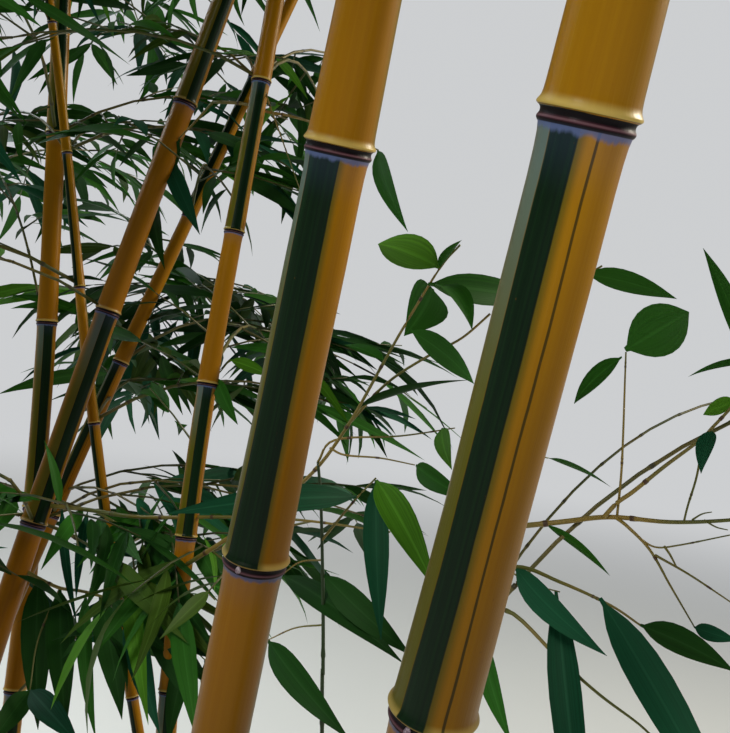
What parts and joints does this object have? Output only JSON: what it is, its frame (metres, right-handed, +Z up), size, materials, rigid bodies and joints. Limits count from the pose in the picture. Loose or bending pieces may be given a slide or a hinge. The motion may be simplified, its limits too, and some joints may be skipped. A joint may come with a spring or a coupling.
{
  "type": "potted bamboo",
  "caption": "Potted golden bamboo: ringed yellow canes with green grooves rise from one clump in a plain clay pot and carry arching sprays of narrow leaves.",
  "frame": {"origin": "the middle of the pot's flat underside, on the ground", "axes": "+Z up along the pot, +Y away from the side that the picture was taken from, +X to the picture's right"},
  "size_m": [2.048, 2.0147, 3.5137],
  "materials": {
    "clay": "matt fired clay, lightly weathered",
    "compost": "rough damp bark compost",
    "cane": "smooth waxy golden yellow with green grooves",
    "leaf": "thin leaves with a soft sheen"
  },
  "bodies": {
    "root": {"pot": "clay", "soil": "compost", "cane_front_right": "cane", "cane_front_middle": "cane", "cane_front_left": "cane", "cane_left": "cane", "cane_back_left": "cane", "cane_back_thin": "cane", "cane_back_middle": "cane", "cane_back_slanting": "cane", "cane_back_crossing": "cane", "cane_right_slim": "cane", "cane_right": "cane", "leaves_front_right_top": "leaf", "leaves_front_middle_top": "leaf", "leaves_front_left_top": "leaf", "leaves_left_top": "leaf", "leaves_back_left_top": "leaf", "leaves_back_thin_top": "leaf", "leaves_back_middle_top": "leaf", "leaves_back_slanting_top": "leaf", "leaves_back_crossing_top": "leaf", "leaves_right_slim_top": "leaf", "leaves_right_top": "leaf", "leaves_front_right_1": "leaf", "leaves_front_right_2": "leaf", "leaves_front_right_3": "leaf", "leaves_front_middle_1": "leaf", "leaves_front_middle_2": "leaf", "leaves_front_middle_3": "leaf", "leaves_front_left_1": "leaf", "leaves_front_left_2": "leaf", "leaves_left_1": "leaf", "leaves_left_2": "leaf", "leaves_left_3": "leaf", "leaves_back_left_1": "leaf", "leaves_back_left_2": "leaf", "leaves_back_thin_1": "leaf", "leaves_back_middle_1": "leaf", "leaves_back_middle_2": "leaf", "leaves_back_slanting_1": "leaf", "leaves_back_crossing_1": "leaf", "leaves_back_crossing_2": "leaf", "leaves_back_crossing_3": "leaf", "leaves_right_slim_1": "leaf", "leaves_right_1": "leaf", "leaves_right_2": "leaf", "leaves_right_3": "leaf"}
  },
  "joints": []
}
